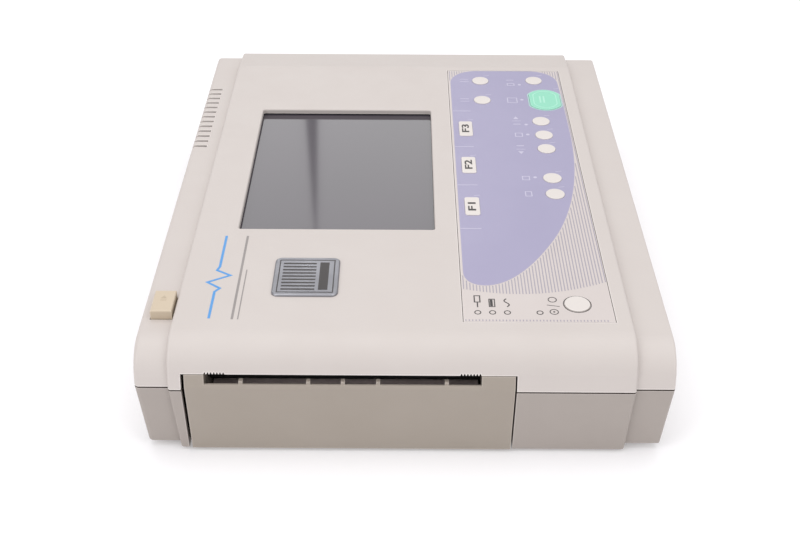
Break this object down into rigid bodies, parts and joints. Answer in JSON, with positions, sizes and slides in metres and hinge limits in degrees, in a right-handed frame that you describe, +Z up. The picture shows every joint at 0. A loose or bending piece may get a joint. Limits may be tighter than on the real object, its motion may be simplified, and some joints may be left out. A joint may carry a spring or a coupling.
{
  "type": "ecg machine",
  "caption": "Low desktop heart recorder with a display, a keypad panel, a side shoulder either side and a paper drawer at the near end.",
  "frame": {"origin": "middle of the footprint, on the table under the feet", "axes": "+Z up, -Y towards the paper drawer, +X towards the operator's keypad side"},
  "size_m": [0.218, 0.2888, 0.055],
  "materials": {
    "case_upper": "fine moulded texture",
    "case_lower": "fine moulded texture",
    "drawer_plastic": "fine moulded texture",
    "feet": "matt",
    "screws": "zinc plated",
    "window": "semi-gloss",
    "gasket": "matt foam",
    "display": "liquid crystal panel",
    "overlay": "satin printed film",
    "circuit": "polyester film",
    "domes": "bright",
    "lamps": "clear",
    "keys": "satin",
    "start": "satin",
    "button": "satin",
    "label": "satin foil",
    "circuit_board": "solder mask",
    "components": "moulded",
    "sheet_metal": "folded sheet",
    "battery": "shrink wrap",
    "black_plastic": "moulded",
    "contacts": "plated",
    "steel": "bright",
    "motor": "zinc plated",
    "white_plastic": "acetal",
    "pinion": "machined",
    "roller": "ground",
    "paper": "thermal paper",
    "head": "glazed",
    "heatsink": "extruded"
  },
  "bodies": {
    "case": {"ac_inlet": "black_plastic", "ac_inlet_pins": "contacts", "asset_label": "label", "battery_cover": "case_lower", "battery_pack": "battery", "board_screws": "screws", "bottom_case": "case_lower", "button_spring": "steel", "case_screws": "screws", "display_gasket": "gasket", "display_module": "display", "display_window": "window", "dome_contacts": "domes", "drawer_rails": "steel", "equipotential_terminal": "contacts", "front_end_shield": "sheet_metal", "head_pivot_pin": "steel", "idler_shaft": "steel", "latch_guide": "white_plastic", "latch_spring": "steel", "main_board": "circuit_board", "main_board_parts": "components", "membrane_circuit": "circuit", "membrane_overlay": "overlay", "patient_connector": "black_plastic", "patient_connector_pins": "contacts", "power_board": "circuit_board", "power_board_parts": "components", "printer_chassis": "sheet_metal", "rubber_feet": "feet", "speaker": "black_plastic", "status_leds": "lamps", "stepper_motor": "motor", "top_case": "case_upper"},
    "drawer": {"drawer_front": "drawer_plastic", "drawer_tray": "drawer_plastic", "paper_pack": "paper", "platen_bearings": "white_plastic"},
    "platen": {"platen_roller": "roller", "platen_shaft": "steel", "platen_gear": "white_plastic"},
    "idler": {"idler_gear": "white_plastic"},
    "pinion": {"motor_pinion": "pinion"},
    "head": {"thermal_head": "head", "head_heatsink": "heatsink"},
    "button": {"release_button": "button"},
    "latch": {"latch_slide": "white_plastic"},
    "soft_key_1_body": {"soft_key_1": "keys"},
    "soft_key_2_body": {"soft_key_2": "keys"},
    "soft_key_3_body": {"soft_key_3": "keys"},
    "upper_left_key_body": {"upper_left_key": "keys"},
    "lower_left_key_body": {"lower_left_key": "keys"},
    "mode_key_body": {"mode_key": "keys"},
    "start_key_body": {"start_key": "start"},
    "lead_up_key_body": {"lead_up_key": "keys"},
    "lead_key_body": {"lead_key": "keys"},
    "lead_down_key_body": {"lead_down_key": "keys"},
    "gain_key_body": {"gain_key": "keys"},
    "speed_key_body": {"speed_key": "keys"},
    "power_key_body": {"power_key": "keys"}
  },
  "joints": [
    {"name": "drawer_slide", "type": "slide", "parent": "case", "child": "drawer", "axis": [0, -1, 0], "range_m": [0, 0.15]},
    {"name": "platen_spin", "type": "hinge", "parent": "drawer", "child": "platen", "pos_m": [0, -0.1283, 0.0365], "axis": [1, 0, 0], "continuous": true},
    {"name": "idler_spin", "type": "hinge", "parent": "case", "child": "idler", "pos_m": [0.038, -0.1138, 0.0365], "axis": [1, 0, 0], "continuous": true},
    {"name": "pinion_spin", "type": "hinge", "parent": "case", "child": "pinion", "pos_m": [0.038, -0.1011, 0.0365], "axis": [1, 0, 0], "continuous": true},
    {"name": "head_pivot", "type": "hinge", "parent": "case", "child": "head", "pos_m": [0, -0.1103, 0.0464], "axis": [-1, 0, 0], "range_deg": [0, 3], "stiffness_Nm_per_rad": 1},
    {"name": "button_press", "type": "slide", "parent": "case", "child": "button", "axis": [0, 0, -1], "range_m": [0, 0.003], "stiffness_N_per_m": 400, "deforming": ["button_spring"]},
    {"name": "latch_release", "type": "slide", "parent": "case", "child": "latch", "axis": [-1, 0, 0], "range_m": [0, 0.003]},
    {"name": "soft_key_1_press", "type": "slide", "parent": "case", "child": "soft_key_1_body", "axis": [0, 0, -1], "range_m": [0, 0.00035], "stiffness_N_per_m": 1500},
    {"name": "soft_key_2_press", "type": "slide", "parent": "case", "child": "soft_key_2_body", "axis": [0, 0, -1], "range_m": [0, 0.00035], "stiffness_N_per_m": 1500},
    {"name": "soft_key_3_press", "type": "slide", "parent": "case", "child": "soft_key_3_body", "axis": [0, 0, -1], "range_m": [0, 0.00035], "stiffness_N_per_m": 1500},
    {"name": "upper_left_key_press", "type": "slide", "parent": "case", "child": "upper_left_key_body", "axis": [0, 0, -1], "range_m": [0, 0.00035], "stiffness_N_per_m": 1500},
    {"name": "lower_left_key_press", "type": "slide", "parent": "case", "child": "lower_left_key_body", "axis": [0, 0, -1], "range_m": [0, 0.00035], "stiffness_N_per_m": 1500},
    {"name": "mode_key_press", "type": "slide", "parent": "case", "child": "mode_key_body", "axis": [0, 0, -1], "range_m": [0, 0.00035], "stiffness_N_per_m": 1500},
    {"name": "start_key_press", "type": "slide", "parent": "case", "child": "start_key_body", "axis": [0, 0, -1], "range_m": [0, 0.00035], "stiffness_N_per_m": 1500},
    {"name": "lead_up_key_press", "type": "slide", "parent": "case", "child": "lead_up_key_body", "axis": [0, 0, -1], "range_m": [0, 0.00035], "stiffness_N_per_m": 1500},
    {"name": "lead_key_press", "type": "slide", "parent": "case", "child": "lead_key_body", "axis": [0, 0, -1], "range_m": [0, 0.00035], "stiffness_N_per_m": 1500},
    {"name": "lead_down_key_press", "type": "slide", "parent": "case", "child": "lead_down_key_body", "axis": [0, 0, -1], "range_m": [0, 0.00035], "stiffness_N_per_m": 1500},
    {"name": "gain_key_press", "type": "slide", "parent": "case", "child": "gain_key_body", "axis": [0, 0, -1], "range_m": [0, 0.00035], "stiffness_N_per_m": 1500},
    {"name": "speed_key_press", "type": "slide", "parent": "case", "child": "speed_key_body", "axis": [0, 0, -1], "range_m": [0, 0.00035], "stiffness_N_per_m": 1500},
    {"name": "power_key_press", "type": "slide", "parent": "case", "child": "power_key_body", "axis": [0, 0, -1], "range_m": [0, 0.00035], "stiffness_N_per_m": 1500}
  ],
  "couplings": [
    {"joint": "idler_spin", "follows": "platen_spin", "ratio": -0.6},
    {"joint": "pinion_spin", "follows": "platen_spin", "ratio": 1.5},
    {"joint": "latch_release", "follows": "button_press", "ratio": 1}
  ]
}
